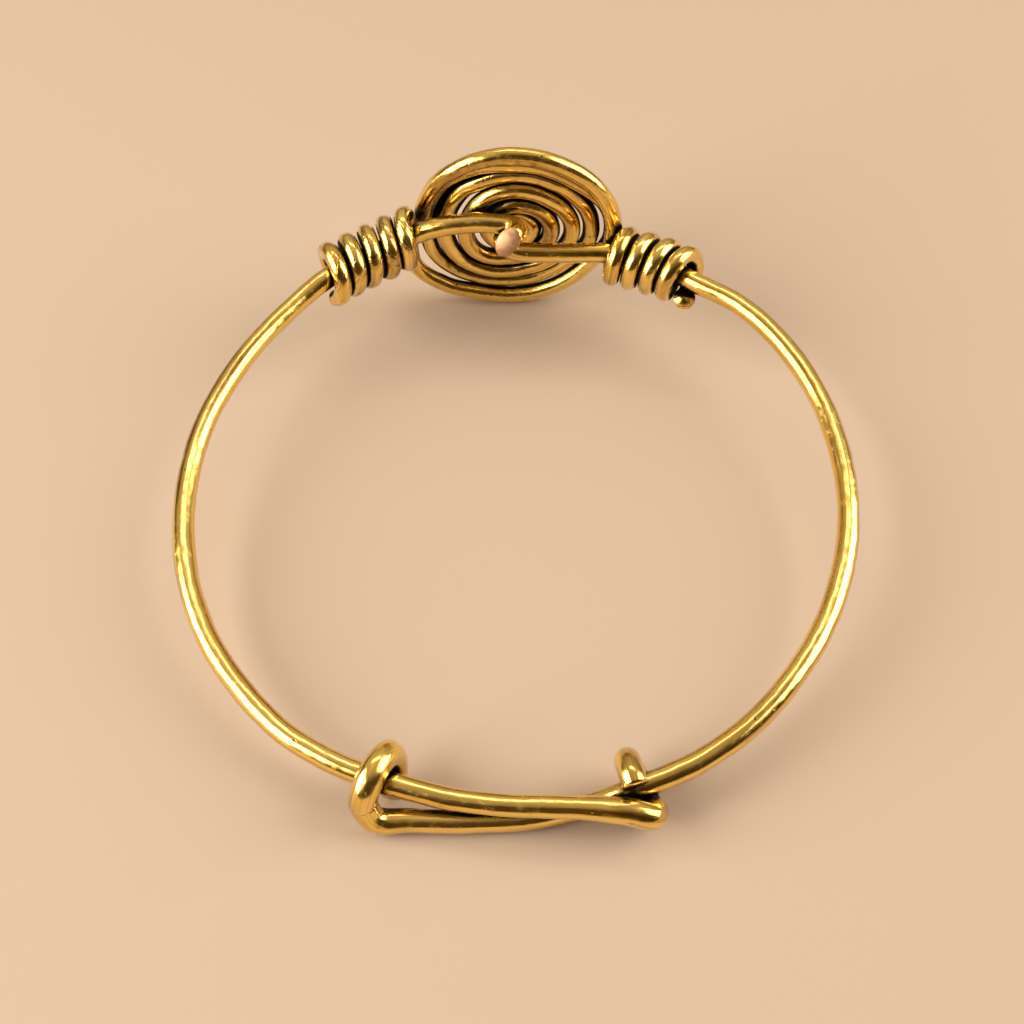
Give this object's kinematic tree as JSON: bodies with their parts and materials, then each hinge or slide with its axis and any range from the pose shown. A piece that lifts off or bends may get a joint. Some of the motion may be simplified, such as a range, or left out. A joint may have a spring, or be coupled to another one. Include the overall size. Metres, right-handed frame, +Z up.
{
  "type": "adjustable bangle",
  "caption": "Adjustable bangle of two thick brass wires with sliding knots, joined by a flat spiral of thinner wire wrapped at both sides.",
  "frame": {"origin": "on the table under the middle of the bangle's bounding box", "axes": "+Z up from the table the bangle lies on, +Y from the sliding knots to the spiral disc, +X to the right as seen from the knots"},
  "size_m": [0.0619, 0.0646, 0.021],
  "materials": {
    "left_band_brass": "polished, with fine draw lines, small pits and a bare cut end",
    "right_band_brass": "polished, with fine draw lines and small pits",
    "spiral_brass": "polished, darkened between the turns",
    "left_wrap_brass": "polished, darkened between the turns"
  },
  "bodies": {
    "root": {"left_band_wire": "left_band_brass", "right_band_wire": "right_band_brass", "spiral_wire": "spiral_brass", "left_wrap": "left_wrap_brass"}
  },
  "joints": []
}
